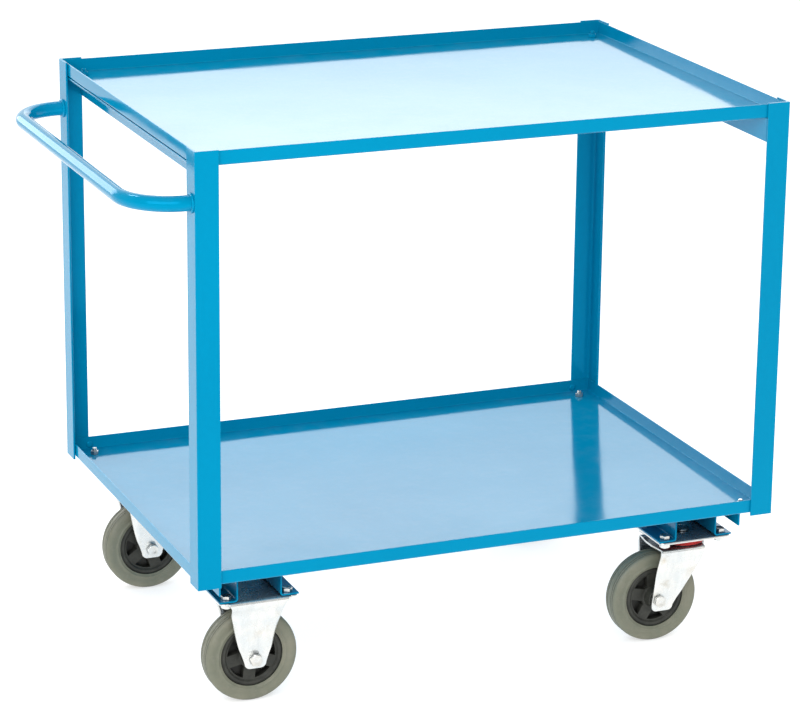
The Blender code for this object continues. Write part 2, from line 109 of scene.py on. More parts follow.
TRAY_BOLT_NUT = 0.0065
TRAY_BOLT_RISE = 0.0115
TRAY_BOLT_X = {"lower": 0.4804, "upper": 0.4870}
TRAY_BOLT_Y = 0.326
LIP_STUD_RISE = 0.0080
BEAM_WELD_RUNS = ((0.262, 0.318), (0.060, 0.110))
GAP = 0.0003
TOUCH = 0.0002
OVERSHOOT = 0.01


# ---- finishes --------------------------------------------------------------------------
class Finish:
    """A Principled material with helpers for the nodes that feed it."""

    def __init__(self, name):
        self.material = bpy.data.materials.new(name)
        self.material.use_nodes = True
        self.tree = self.material.node_tree
        self.shader = self.tree.nodes["Principled BSDF"]
        self.place = self.node("ShaderNodeTexCoord").outputs["Object"]

    def node(self, kind, **settings):
        made = self.tree.nodes.new(kind)
        for key, value in settings.items():
            setattr(made, key, value)
        return made

    def wire(self, source, target):
        self.tree.links.new(source, target)

    def set(self, **values):
        for key, value in values.items():
            self.shader.inputs[key.replace("_", " ")].default_value = value

    def noise(self, scale, detail=3.0, roughness=0.5, stretch=None, distortion=0.0):
        """Noise in metres, by Object coordinates: scale is features to the metre."""
        made = self.node("ShaderNodeTexNoise")
        made.inputs["Scale"].default_value = scale
        made.inputs["Detail"].default_value = detail
        made.inputs["Roughness"].default_value = roughness
        made.inputs["Distortion"].default_value = distortion
        place = self.place
        if stretch:
            mapping = self.node("ShaderNodeMapping")
            mapping.inputs["Scale"].default_value = stretch
            self.wire(place, mapping.inputs["Vector"])
            place = mapping.outputs["Vector"]
        self.wire(place, made.inputs["Vector"])
        return made.outputs["Fac"]

    def span(self, value, low, high, start=0.0, end=1.0):
        made = self.node("ShaderNodeMapRange")
        made.inputs["From Min"].default_value = low
        made.inputs["From Max"].default_value = high
        made.inputs["To Min"].default_value = start
        made.inputs["To Max"].default_value = end
        self.wire(value, made.inputs["Value"])
        return made.outputs["Result"]

    def sum(self, first, second, operation="ADD"):
        made = self.node("ShaderNodeMath", operation=operation)
        for value, socket in ((first, made.inputs[0]), (second, made.inputs[1])):
            if isinstance(value, (int, float)):
                socket.default_value = value
            else:
                self.wire(value, socket)
        return made.outputs["Value"]

    def times(self, first, second):
        return self.sum(first, second, "MULTIPLY")

    def blend(self, amount, first, second):
        """Mixes two colours; either may be a socket or three numbers."""
        made = self.node("ShaderNodeMix", data_type="RGBA")
        self.wire(amount, made.inputs["Factor"])
        for value, socket in ((first, made.inputs[6]), (second, made.inputs[7])):
            if isinstance(value, tuple):
                socket.default_value = (*value, 1.0)
            else:
                self.wire(value, socket)
        return made.outputs[2]

    def bump(self, height, distance, strength=1.0, under=None):
        made = self.node("ShaderNodeBump")
        made.inputs["Distance"].default_value = distance
        made.inputs["Strength"].default_value = strength
        self.wire(height, made.inputs["Height"])
        if under is not None:
            self.wire(under, made.inputs["Normal"])
        return made.outputs["Normal"]

    def hollows(self, reach, low=0.25, high=0.9):
        """1 deep in grooves and corners, 0 on open faces."""
        made = self.node("ShaderNodeAmbientOcclusion", samples=6)
        made.inputs["Distance"].default_value = reach
        return self.span(made.outputs["AO"], low, high, 1.0, 0.0)

    def edges(self, reach, most):
        """Up to most along convex outer edges, 0 on open faces."""
        made = self.node("ShaderNodeAmbientOcclusion", samples=6, inside=True)
        made.inputs["Distance"].default_value = reach
        return self.span(made.outputs["AO"], 0.35, 0.85, most, 0.0)

    def facing_up(self):
        """How far the surface faces up, from 0 to 1."""
        geometry = self.node("ShaderNodeNewGeometry")
        parts = self.node("ShaderNodeSeparateXYZ")
        self.wire(geometry.outputs["Normal"], parts.inputs["Vector"])
        return self.span(parts.outputs["Z"], 0.2, 0.95)

    def finish(self, colour, roughness, normal):
        self.wire(colour, self.shader.inputs["Base Color"])
        self.wire(roughness, self.shader.inputs["Roughness"])
        self.wire(normal, self.shader.inputs["Normal"])
        return self.material


def blue_paint(name, painted_shade=0.0):
    """Stoved enamel: a deep glossy blue with orange peel over slightly wavy steel. A shade
    above 0 makes a copy with painted shade: darker all over, and darker still in hollows.
    """
    made = Finish(name)
    made.set(IOR=1.5, Specular_Tint=(0.02, 0.52, 1.0, 1.0))
    drift = made.span(made.noise(2.3, 2.0), 0.3, 0.7)
    colour = made.blend(drift, (0.0, 0.215, 0.385), (0.0, 0.240, 0.420))
    mottle = made.span(made.noise(85.0, 4.0, 0.6), 0.35, 0.7, 0.0, 0.35)
    colour = made.blend(mottle, colour, (0.0, 0.250, 0.435))
    specks = made.span(made.noise(900.0, 1.0), 0.72, 0.80, 0.0, 0.25)
    colour = made.blend(specks, colour, (0.01, 0.16, 0.34))
    dust = made.span(made.noise(24.0, 6.0, 0.7), 0.45, 0.8, 0.0, 0.05)
    dust = made.times(dust, made.facing_up())
    colour = made.blend(dust, colour, (0.45, 0.52, 0.58))
    # painted shade: the blue darkens by the given amount, and more in hollows and corners
    if painted_shade:
        hollow_shade = made.times(made.hollows(0.05, 0.2, 1.0), 0.5)
        colour = made.blend(made.sum(hollow_shade, painted_shade), colour, (0.0, 0.045, 0.11))
    rough = made.span(made.noise(7.0, 5.0, 0.65), 0.3, 0.75, 0.065, 0.14)
    scuffs = made.span(made.noise(60.0, 5.0, 0.7, (1.0, 7.0, 1.0)), 0.62, 0.75, 0.0, 0.10)
    rough = made.sum(rough, scuffs)
    waves = made.bump(made.noise(5.0, 1.0, 0.4), 0.0045, 0.25)
    peel = made.bump(made.noise(420.0, 2.0, 0.5), 0.00006, 0.5, waves)
    return made.finish(colour, rough, peel)


def zinc_plate():
    """Bright zinc with a faint yellow and blue passivation and rolled-sheet streaks, and
    painted shade with a painted navy reflection in its hollows.
    """
    made = Finish("zinc_plate")
    made.set(Metallic=0.9, IOR=1.6)
    cloud = made.span(made.noise(26.0, 3.0, 0.55), 0.42, 0.68)
    colour = made.blend(cloud, (0.74, 0.76, 0.75), (0.85, 0.83, 0.78))
    stain = made.span(made.noise(17.0, 4.0, 0.6, None, 0.6), 0.55, 0.76, 0.0, 0.7)
    colour = made.blend(stain, colour, (0.52, 0.44, 0.32))
    streaks = made.noise(90.0, 4.0, 0.6, (1.0, 1.0, 0.16))
    grain = made.span(streaks, 0.42, 0.80, 0.0, 0.26)
    colour = made.blend(grain, colour, (0.42, 0.46, 0.47))
    # painted shade and painted reflection: hollows, such as the plate under the beams, turn
    # dark navy
    shade_and_reflection = made.times(made.hollows(0.06, 0.10, 0.68), 0.9)
    colour = made.blend(shade_and_reflection, colour, (0.035, 0.075, 0.12))
    rough = made.span(made.noise(60.0, 3.0, 0.5), 0.3, 0.75, 0.22, 0.34)
    normal = made.bump(streaks, 0.00015, 0.12)
    normal = made.bump(made.noise(40.0, 1.0), 0.0009, 0.12, normal)
    return made.finish(colour, rough, normal)


def grey_rubber():
    """Grey solid rubber: matt, slightly green, with dust in the grain, painted shade in its
    grooves and a painted highlight along its edges.
    """
    made = Finish("grey_rubber")
    made.set(IOR=1.5, Specular_IOR_Level=0.45)
    cloud = made.span(made.noise(22.0, 4.0, 0.6), 0.35, 0.7)
    colour = made.blend(cloud, (0.145, 0.155, 0.112), (0.195, 0.192, 0.140))
    patch = made.span(made.noise(70.0, 5.0, 0.65), 0.5, 0.75, 0.0, 0.5)
    colour = made.blend(patch, colour, (0.225, 0.215, 0.170))
    # painted shade: darker in the grooves and recesses
    recess_shade = made.times(made.hollows(0.004, 0.45, 0.95), 0.8)
    colour = made.blend(recess_shade, colour, (0.045, 0.055, 0.045))
    # painted highlight: lighter rubber along the convex edges and ridges
    colour = made.blend(made.edges(0.0012, 0.5), colour, (0.36, 0.355, 0.30))
    rough = made.span(made.noise(130.0, 3.0), 0.3, 0.7, 0.42, 0.62)
    normal = made.bump(made.noise(650.0, 3.0, 0.6), 0.00016, 0.5)
    normal = made.bump(made.noise(48.0, 2.0), 0.0006, 0.2, normal)
    return made.finish(colour, rough, normal)


def dark_plastic():
    """Moulded wheel centres: dark grey plastic with faint flow marks, and painted shade deep in
    the pockets.
    """
    made = Finish("dark_plastic")
    made.set(IOR=1.45, Specular_IOR_Level=0.3)
    cloud = made.span(made.noise(45.0, 4.0, 0.6, None, 0.5), 0.35, 0.7)
    colour = made.blend(cloud, (0.024, 0.025, 0.021), (0.046, 0.047, 0.039))
    dust = made.span(made.noise(160.0, 5.0, 0.7), 0.52, 0.78, 0.0, 0.35)
    colour = made.blend(dust, colour, (0.085, 0.084, 0.070))
    # painted shade: near black in the pockets and recesses
    recess_shade = made.times(made.hollows(0.014, 0.30, 0.85), 0.9)
    colour = made.blend(recess_shade, colour, (0.003, 0.003, 0.003))
    rough = made.span(made.noise(75.0, 4.0, 0.6), 0.3, 0.7, 0.30, 0.48)
    normal = made.bump(made.noise(520.0, 2.0), 0.0001, 0.45)
    return made.finish(colour, rough, normal)


def red_plastic():
    """The soft red dust seal."""
    made = Finish("red_plastic")
    made.set(IOR=1.45, Specular_IOR_Level=0.3)
    cloud = made.span(made.noise(60.0, 3.0), 0.35, 0.7)
    colour = made.blend(cloud, (0.48, 0.030, 0.030), (0.60, 0.055, 0.045))
    rough = made.span(made.noise(110.0, 3.0), 0.3, 0.7, 0.28, 0.42)
    normal = made.bump(made.noise(420.0, 2.0), 0.0001, 0.4)
    return made.finish(colour, rough, normal)


def white_floor():
    """The pale studio floor: it glows, a little less where things stand on it, which paints a
    contact shadow.
    """
    made = Finish("white_floor")
    shade = made.node("ShaderNodeAmbientOcclusion", samples=8)
    shade.inputs["Distance"].default_value = 0.12
    # painted shadow: the floor's glow drops near things that stand on it
    lit = made.span(shade.outputs["AO"], 0.15, 0.95, 0.56, 0.86)
    tone = made.blend(made.noise(3.0, 2.0), (0.44, 0.445, 0.45), (0.46, 0.46, 0.46))
    rough = made.span(made.noise(40.0, 3.0), 0.3, 0.7, 0.55, 0.65)
    made.set(Emission_Color=(1.0, 1.0, 1.0, 1.0), Specular_IOR_Level=0.0)
    made.wire(lit, made.shader.inputs["Emission Strength"])
    return made.finish(tone, rough, made.bump(made.noise(300.0, 2.0), 0.0001, 0.2))


BLUE = blue_paint("blue_paint")
# painted shade: a darker copy of the blue for the castor beams and their welds under the trays
SHADED_BLUE = blue_paint("blue_paint_shaded", 0.25)
ZINC = zinc_plate()
RUBBER = grey_rubber()
DARK = dark_plastic()
RED = red_plastic()


# ---- mesh helpers ----------------------------------------------------------------------
def to_mesh(bm, name):
    """A closed bmesh as a smooth-shaded mesh with its faces turned outwards."""
    bmesh.ops.recalc_face_normals(bm, faces=bm.faces)
    mesh = bpy.data.meshes.new(name)
    bm.to_mesh(mesh)
    bm.free()
    mesh.shade_smooth()
    return mesh


def scratch(mesh):
    obj = bpy.data.objects.new("scratch", mesh)
    bpy.context.scene.collection.objects.link(obj)
    return obj


def baked(obj, name):
    """The object's mesh with its modifiers applied; the object is removed."""
    bpy.context.view_layer.update()
    graph = bpy.context.evaluated_depsgraph_get()
    mesh = bpy.data.meshes.new_from_object(obj.evaluated_get(graph))
    mesh.name = name
    bpy.data.objects.remove(obj)
    return mesh


def cut(mesh, tools, operation="DIFFERENCE"):
    """Cuts, joins or trims a mesh with each tool mesh in turn."""
    base = scratch(mesh)
    helpers = [scratch(tool) for tool in tools]
    for helper in helpers:
        step = base.modifiers.new("step", "BOOLEAN")
        step.operation = operation
        step.solver = "EXACT"
        step.object = helper
    made = baked(base, mesh.name)
    for helper in helpers:
        bpy.data.objects.remove(helper)
    return made


def crisp(mesh, angle=34):
    """Smooth shading that breaks at edges sharper than the angle."""
    mesh.shade_smooth()
    mesh.set_sharp_from_angle(angle=math.radians(angle))
    return mesh


def rounded(mesh, width, segments=2, angle=32):
    """The mesh with its edges rounded by a small width and flat faces kept flat."""
    obj = scratch(mesh)
    bevel = obj.modifiers.new("edges", "BEVEL")
    bevel.width = width
    bevel.segments = segments
    bevel.limit_method = "ANGLE"
    bevel.angle_limit = math.radians(angle)
    bevel.harden_normals = True
    bevel.use_clamp_overlap = True
    return baked(obj, mesh.name)


def lathe(name, profile, steps, axis="Z"):
    """A closed profile of (radius, height) points turned round an axis."""
    bm = bmesh.new()
    rings = []
    for step in range(steps):
        turn = math.tau * step / steps
        ring = []
        for radius, height in profile:
            a, b = radius * math.sin(turn), radius * math.cos(turn)
            place = (a, b, height) if axis == "Z" else (a, height, b)
            ring.append(bm.verts.new(place))
        rings.append(ring)
    count = len(profile)
    for first, second in zip(rings, rings[1:] + rings[:1]):
        for i in range(count):
            j = (i + 1) % count
            bm.faces.new((first[i], first[j], second[j], second[i]))
    return to_mesh(bm, name)


def disc(name, profile, steps, axis="Z", centre=(0, 0, 0)):
    """Like lathe, for an open profile whose ends lie on the axis."""
    bm = bmesh.new()
    rings = []
    for radius, height in profile:
        ring = []
        for step in range(steps if radius > 0 else 1):
            turn = math.tau * step / steps
            a, b = radius * math.sin(turn), radius * math.cos(turn)
            place = (a, b, height) if axis == "Z" else (a, height, b)
            ring.append(bm.verts.new(Vector(place) + Vector(centre)))
        rings.append(ring)
    for first, second in zip(rings, rings[1:]):
        for i in range(steps):
            j = (i + 1) % steps
            corners = [first[i % len(first)], first[j % len(first)]]
            corners += [second[j % len(second)], second[i % len(second)]]
            bm.faces.new(list(dict.fromkeys(corners)))
    return to_mesh(bm, name)


def drill(radius, low, high, steps=24, axis="Z", centre=(0, 0, 0)):
    """A plain pin to be taken out of a mesh."""
    profile = [(0, low), (radius, low), (radius, high), (0, high)]
    return disc("drill", profile, steps, axis, centre)


def prism(name, outline, start, end, axis="Z"):
    """A flat outline drawn out along an axis."""
    bm = bmesh.new()
    rings = []
    for level in (start, end):
        ring = []
        for a, b in outline:
            ring.append(bm.verts.new((a, b, level) if axis == "Z" else (a, level, b)))
        rings.append(ring)
    first, last = rings
    bm.faces.new(first)
    bm.faces.new(last)
    for i in range(len(outline)):
        bm.faces.new((first[i - 1], first[i], last[i], last[i - 1]))
    return to_mesh(bm, name)


def arc(x, y, radius, start, end, steps=5):
    """Points round part of a circle, angles in degrees."""
    points = []
    for step in range(steps + 1):
        angle = math.radians(start + (end - start) * step / steps)
        points.append((x + radius * math.cos(angle), y + radius * math.sin(angle)))
    return points


def rolled_angle(width, drop, thick, root, toe, side_x, side_y):
    """An angle section with a filleted root and rounded toes, its heel at the origin."""
    points = [(0, 0), (width, 0)]
    points += arc(width - toe, thick - toe, toe, 0, 90)
    points += arc(thick + root, thick + root, root, 270, 180)
    points += arc(thick - toe, drop - toe, toe, 0, 90)
    points += [(0, drop)]
    return [(side_x * x, side_y * y) for x, y in points]


def bent_sheet(path, thick, radius, steps=6):
    """The outline of a sheet bent along a path, its corners rounded."""
    line = [Vector(path[0])]
    for before, corner, after in zip(path, path[1:], path[2:]):
        corner = Vector(corner)
        back = (Vector(before) - corner).normalized()
        ahead = (Vector(after) - corner).normalized()
        half = back.angle(ahead) / 2
        centre = corner + (back + ahead).normalized() * radius / math.sin(half)
        start = corner + back * radius / math.tan(half) - centre
        end = corner + ahead * radius / math.tan(half) - centre
        for step in range(steps + 1):
            line.append(centre + start.lerp(end, step / steps).normalized() * radius)
    line.append(Vector(path[-1]))
    one_side, other_side = [], []
    for i, point in enumerate(line):
        run = line[min(i + 1, len(line) - 1)] - line[max(i - 1, 0)]
        across = Vector((-run.y, run.x)).normalized() * thick / 2
        one_side.append(tuple(point + across))
        other_side.append(tuple(point - across))
    return one_side + other_side[::-1]


def sweep(name, path, radius, sides=16, closed=False, pitch=0.0):
    """A tube along a path in one plane; a pitch swells it in steps like a run of weld."""
    points = [Vector(p) for p in path]
    count = len(points)
    plane = (points[1] - points[0]).cross(points[count // 2] - points[0])
    if plane.length < 1e-9:
        plane = (points[1] - points[0]).cross(Vector((0.3, 0.5, 0.8)))
    plane.normalize()
    bm = bmesh.new()
    rings = []
    travelled = 0.0
    for i, point in enumerate(points):
        after = points[(i + 1) % count] if closed else points[min(i + 1, count - 1)]
        before = points[i - 1] if closed else points[max(i - 1, 0)]
        run = (after - before).normalized()
        across = run.cross(plane).normalized()
        size = radius
        if pitch:
            wave = (travelled / pitch) % 1.0
            size *= 0.86 + 0.20 * wave + 0.10 * noise.noise(point * 260)
            if not closed:
                ends = min(i, count - 1 - i) / 3.0
                size *= math.sqrt(min(1.0, ends + 0.12))
        ring = []
        for side in range(sides):
            turn = math.tau * side / sides
            offset = across * math.cos(turn) + plane * math.sin(turn)
            ring.append(bm.verts.new(point + offset * size))
        rings.append(ring)
        travelled += (after - point).length
    pairs = list(zip(rings, rings[1:]))
    if closed:
        pairs.append((rings[-1], rings[0]))
    for first, second in pairs:
        for i in range(sides):
            bm.faces.new((first[i - 1], first[i], second[i], second[i - 1]))
    if not closed:
        bm.faces.new(rings[0])
        bm.faces.new(rings[-1])
    return to_mesh(bm, name)


def straight(start, end, step=0.0011):
    """Points along a straight line, about a step apart."""
    start, end = Vector(start), Vector(end)
    count = max(4, round((end - start).length / step))
    return [start.lerp(end, i / count) for i in range(count + 1)]


def joined(name, parts):
    """Several meshes, each with its own placing, as one mesh."""
    bm = bmesh.new()
    for mesh, place in parts:
        copy = mesh.copy()
        copy.transform(place)
        bm.from_mesh(copy)
    made = bpy.data.meshes.new(name)
    bm.to_mesh(made)
    bm.free()
    return made


def show(name, mesh, material, body, stands_for=(), place=None):
    """Adds a piece that rides on a body and stands for some CAD nodes."""
    mesh.materials.clear()
    mesh.materials.append(material)
    piece = bpy.data.objects.new(name, mesh)
    bpy.context.scene.collection.objects.link(piece)
    if place is not None:
        piece.matrix_world = place
    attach(piece, body)
    if stands_for:
        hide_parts(*stands_for)


def stand_in(node, mesh, material, place=None):
    show(f"{node}_detail", mesh, material, NODES[node]["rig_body"], [node], place)


def middle(node):
    """The middle of a CAD node's box."""
    low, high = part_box(node)
    return (low + high) / 2


def shift(x, y, z):
    return Matrix.Translation((x, y, z))


def turned_by(degrees, axis="Z"):
    return Matrix.Rotation(math.radians(degrees), 4, axis)


# ---- frame -----------------------------------------------------------------------------
ENDS = (("left", -1), ("right", 1))
SIDES = (("front", -1), ("rear", 1))
CORNERS = [(side, sy, end, sx) for side, sy in SIDES for end, sx in ENDS]


def make_posts():
    """Rolled angles with their heels outwards."""
    for side, sy, end, sx in CORNERS:
        node = f"post_{side}_{end}"
        low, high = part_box(node)
        outline = rolled_angle(
            high.x - low.x, high.y - low.y, POST_THICK, ROOT_RADIUS, TOE_RADIUS, -sx, -sy
        )
        heel = (low.x if sx < 0 else high.x, low.y if sy < 0 else high.y)
        outline = [(heel[0] + x, heel[1] + y) for x, y in outline]
        mesh = prism(node, outline, low.z, high.z)
        stand_in(node, rounded(mesh, 0.0006), BLUE)


def make_bearers():
    """Angles across the ends, one flange under the tray and one hanging."""
    for level, thick in (("upper", POST_THICK), ("lower", BEARER_THICK)):
        for end, sx in ENDS:
            node = f"bearer_{level}_{end}"
            low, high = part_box(node)
            outline = rolled_angle(
                high.x - low.x, high.z - low.z, thick, ROOT_RADIUS * 0.8,
                thick * 0.55, sx, -1,
            )
            heel = low.x if sx > 0 else high.x
            outline = [(heel + x, high.z + z) for x, z in outline]
            mesh = prism(node, outline, low.y, high.y, "Y")
            stand_in(node, rounded(mesh, 0.0005), BLUE)


def tray_mesh(node):
    """A folded pan: rectangles stacked from the floor's underside over the lip and back."""
    low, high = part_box(node)
    rise = high.z - low.z
    edge = 0.0005
    rings = arc(TRAY_BEND, TRAY_BEND, TRAY_BEND, 270, 180, 7)
    rings += [(0, rise - edge), (edge, rise), (TRAY_SHEET - edge, rise)]
    rings += [(TRAY_SHEET, rise - edge)]
    inside = TRAY_BEND - TRAY_SHEET
    rings += arc(TRAY_BEND, TRAY_BEND, inside, 180, 270, 6)
    bm = bmesh.new()
    stack = []
    for inset, height in rings:
        corners = []
        for sx, sy in ((-1, -1), (1, -1), (1, 1), (-1, 1)):
            x = low.x + inset if sx < 0 else high.x - inset
            y = low.y + inset if sy < 0 else high.y - inset
            corners.append(bm.verts.new((x, y, low.z + height)))
        stack.append(corners)
    bm.faces.new(stack[0])
    bm.faces.new(stack[-1])
    for first, second in zip(stack, stack[1:]):
        for i in range(4):
            bm.faces.new((first[i - 1], first[i], second[i], second[i - 1]))
    return crisp(to_mesh(bm, node), 40)


def make_trays():
    """Pans with a thin run of weld up the inside of each corner."""
    for node in ("tray_lower", "tray_upper"):
        stand_in(node, tray_mesh(node), BLUE)
        low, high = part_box(node)
        for side, sy, end, sx in CORNERS:
            x = (low.x if sx < 0 else high.x) - sx * (TRAY_SHEET + TOUCH)
            y = (low.y if sy < 0 else high.y) - sy * (TRAY_SHEET + TOUCH)
            path = straight((x, y, low.z + 0.0035), (x, y, high.z - 0.0010))
            seam = sweep("seam", path, 0.0011, 8, pitch=0.0026)
            show(f"{node}_seam_{side}_{end}", seam, BLUE, "frame")


def make_handle():
    """A tube bent into a flat U, with a weld collar at each end."""
    low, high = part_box("push_handle")
    height = (low.z + high.z) / 2
    bar = low.x + HANDLE_RADIUS
    half = high.y - HANDLE_RADIUS
    start = high.x
    near = [
        (bar + HANDLE_BEND * (1 - math.sin(a)), -half + HANDLE_BEND * (1 - math.cos(a)))
        for a in [math.radians(90 * step / 24) for step in range(25)]
    ]
    route = [(start, -half)] + near
    route += [(x, -y) for x, y in reversed(route)]
    tube = sweep("push_handle", [(x, y, height) for x, y in route], HANDLE_RADIUS, 40)
    stand_in("push_handle", rounded(tube, 0.0004, angle=60), BLUE)
    for side, sy in SIDES:
        ring = HANDLE_RADIUS + 0.0010
        path = [
            (start - 0.0010, sy * half + ring * math.cos(a), height + ring * math.sin(a))
            for a in [math.tau * step / 90 for step in range(90)]
        ]
        collar = sweep("collar", path, 0.0026, 10, closed=True, pitch=0.0036)
        show(f"handle_weld_{side}", collar, BLUE, "frame")


def make_beams():
    """Hat sections with rounded bends, drilled for the castor bolts."""
    for end, sx in ENDS:
        node = f"castor_beam_{end}"
        low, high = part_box(node)
        centre = (low.x + high.x) / 2
        half = (high.x - low.x) / 2
        top_half = BEAM_TOP_WIDTH / 2 - BEAM_THICK / 2
        foot = low.z + BEAM_THICK / 2
        top = high.z - BEAM_THICK / 2
        path = [(-half, foot), (-top_half, foot), (-top_half, top)]
        path += [(-x, z) for x, z in reversed(path)]
        outline = bent_sheet([(centre + x, z) for x, z in path], BEAM_THICK, 0.0042)
        mesh = rounded(prism(node, outline, low.y, high.y, "Y"), 0.0005)
        drills = []
        for side, sy in SIDES:
            for index in range(1, 5):
                spot = middle(f"mount_bolt_{side}_{end}_{index}")
                drills.append(drill(
                    MOUNT_THREAD + GAP, low.z - OVERSHOOT, low.z + 2 * OVERSHOOT,
                    centre=(spot.x, spot.y, 0),
                ))
        # painted shade: the beams take the shaded copy of the blue
        stand_in(node, crisp(cut(mesh, drills), 30), SHADED_BLUE)
        for side, sy in SIDES:
            for edge in (-1, 1):
                x = centre + edge * (BEAM_TOP_WIDTH / 2 + TOUCH)
                z = high.z - 0.0012
                facing = "inner" if edge * sx < 0 else "outer"
                for run, (near, far) in enumerate(BEAM_WELD_RUNS, 1):
                    path = straight((x, sy * near, z), (x, sy * far, z))
                    weld = sweep("weld", path, 0.0030, 10, pitch=0.0038)
                    name = f"beam_weld_{side}_{end}_{facing}_{run}"
                    # painted shade: the beam welds take the shaded copy of the blue too
                    show(name, weld, SHADED_BLUE, "frame")


# ---- fasteners -------------------------------------------------------------------------
def hexagon(across, low, high, chamfer_low, chamfer_high):
    """A hex block whose corners are turned down at one or both ends."""
    corner = across / 2 / math.cos(math.pi / 6)
    outline = [
        (corner * math.cos(math.tau * i / 6), corner * math.sin(math.tau * i / 6))
        for i in range(6)
    ]
    block = prism("hexagon", outline, low, high)
    block.shade_flat()
    beyond = 0.001
    face = across / 2 * 0.96
    out = corner + beyond
    slope = (out - face) * math.tan(math.radians(30))
    if chamfer_low:
        profile = [(0, low), (face, low), (out, low + slope)]
    else:
        profile = [(0, low - beyond), (out, low - beyond)]
    if chamfer_high:
        profile += [(out, high - slope), (face, high), (0, high)]
    else:
        profile += [(out, high + beyond), (0, high + beyond)]
    return cut(block, [disc("turning", profile, 48)], "INTERSECT")


def threaded(radius, low, high, pitch=0.0015, chamfer=True):
    """A rod with its thread cut as a run of fine grooves."""
    depth = pitch * 0.45
    profile = [(0, low)]
    profile += [(radius - depth, low), (radius, low + depth)] if chamfer else [(radius, low)]
    z = low + depth + pitch * 0.2
    while z + pitch < high:
        profile += [(radius, z), (radius - depth, z + pitch * 0.42), (radius, z + pitch * 0.84)]
        z += pitch
    profile += [(radius, high), (0, high)]
    return disc("thread", profile, 32)


def washer(inner, outer, low, high):
    edge = min(0.0003, (high - low) / 3)
    return lathe("washer", [
        (inner, low), (outer - edge, low), (outer, low + edge), (outer, high - edge),
        (outer - edge, high), (inner, high),
    ], 48)


def head_with_dimple(across, low, high):
    """A cold-forged hex head: a washer face below and a shallow dished top."""
    block = hexagon(across, low + 0.0004, high, False, True)
    dish = disc("dish", [
        (0, high - 0.0005), (across * 0.26, high - 0.0004), (across * 0.34, high + 0.0002),
        (across * 0.34, high + 0.001), (0, high + 0.001),
    ], 32)
    block = cut(block, [dish])
    return joined("head", [
        (block, Matrix()), (washer(across * 0.1, across * 0.47, low, low + 0.0005), Matrix()),
    ])


def make_mount_bolts():
    """Hex bolts down through beam and castor plate, with nuts below."""
    for side, _, end, sx in CORNERS:
        low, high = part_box(f"mount_bolt_{side}_{end}_1")
        seat = high.z - MOUNT_HEAD
        under = low.z + MOUNT_TAIL + MOUNT_NUT
        nut = hexagon(MOUNT_HEX, under - MOUNT_NUT, under, True, True)
        parts = [
            (head_with_dimple(MOUNT_HEX, seat, high.z), Matrix()),
            (threaded(MOUNT_THREAD, low.z, seat + SHANK_OVERLAP), Matrix()),
            (nut, turned_by(23)),
        ]
        bolt = crisp(joined("mount_bolt", parts), 30)
        for index in range(1, 5):
            node = f"mount_bolt_{side}_{end}_{index}"
            spot = middle(node)
            spin = turned_by(17 + 31 * index + 11 * sx)
            stand_in(node, bolt.copy(), ZINC, shift(spot.x, spot.y, 0) @ spin)


def make_axles():
    """Bolts along Y through the forks, heads to the front and nuts to the rear."""
    for side, _, end, sx in CORNERS:
        bolt_node, nut_node = f"axle_bolt_{side}_{end}", f"axle_nut_{side}_{end}"
        low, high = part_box(bolt_node)
        hub = middle(bolt_node)
        lay = shift(hub.x, 0, hub.z) @ turned_by(-90, "X")
        spin = turned_by(12 if sx < 0 else 38)
        seat = low.y + AXLE_HEAD
        head = head_with_dimple(AXLE_HEX, -seat, -low.y)
        head.transform(Matrix.Scale(-1, 4, (0, 0, 1)))
        head.flip_normals()
        shank = threaded(AXLE_THREAD, seat - SHANK_OVERLAP, high.y, 0.00175, False)
        bolt = crisp(joined(bolt_node, [(head, spin), (shank, Matrix())]), 30)
        stand_in(bolt_node, bolt, ZINC, lay)
        low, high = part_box(nut_node)
        nut = hexagon(AXLE_HEX, low.y, high.y, True, True)
        hole = drill(AXLE_BORE, low.y - OVERSHOOT, high.y + OVERSHOOT, 32)
        nut = crisp(cut(nut, [hole]), 30)
        stand_in(nut_node, nut, ZINC, lay @ spin)


def make_tray_bolts():
    """Bolts up through each tray's corners, nuts on its floor, and studs on the lower lips."""
    stud = disc("stud", [
        (0, -0.0030), (0.0035, -0.0030), (0.0050, -0.0026), (0.0061, -0.0015),
        (0.0065, -0.0001), (0.0065, 0.0003), (0.0, 0.0003),
    ], 32, "Y")
    for level, thick, finish in (("lower", BEARER_THICK, ZINC), ("upper", POST_THICK, BLUE)):
        low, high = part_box(f"tray_{level}")
        floor = low.z + TRAY_SHEET
        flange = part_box(f"bearer_{level}_left")[1].z - thick
        head = head_with_dimple(TRAY_BOLT_HEX, 0.0, TRAY_BOLT_HEAD)
        head.transform(turned_by(180, "X"))
        head.transform(shift(0, 0, flange - TOUCH))
        seat = floor + TOUCH
        nut = hexagon(TRAY_BOLT_HEX, seat, seat + TRAY_BOLT_NUT, True, True)
        top = floor + TRAY_BOLT_RISE
        rod = threaded(TRAY_BOLT_THREAD, -top, SHANK_OVERLAP - flange, 0.00125)
        rod.transform(turned_by(180, "X"))
        parts = [(head, Matrix()), (nut, Matrix.Rotation(0.3, 4, "Z")), (rod, Matrix())]
        bolt = crisp(joined("tray_bolt", parts), 30)
        for side, sy, end, sx in CORNERS:
            x = middle(f"tray_{level}").x + sx * TRAY_BOLT_X[level]
            place = shift(x, sy * TRAY_BOLT_Y, 0) @ turned_by(25 * sx + 14 * sy)
            show(f"tray_bolt_{level}_{side}_{end}", bolt.copy(), finish, "frame", place=place)
            if level == "lower":
                face = (high.y if sy > 0 else low.y) - sy * TRAY_SHEET
                place = shift(x, face, floor + LIP_STUD_RISE) @ turned_by(0 if sy > 0 else 180)
                piece = crisp(stud.copy(), 40)
                show(f"lip_stud_{side}_{end}", piece, BLUE, "frame", place=place)


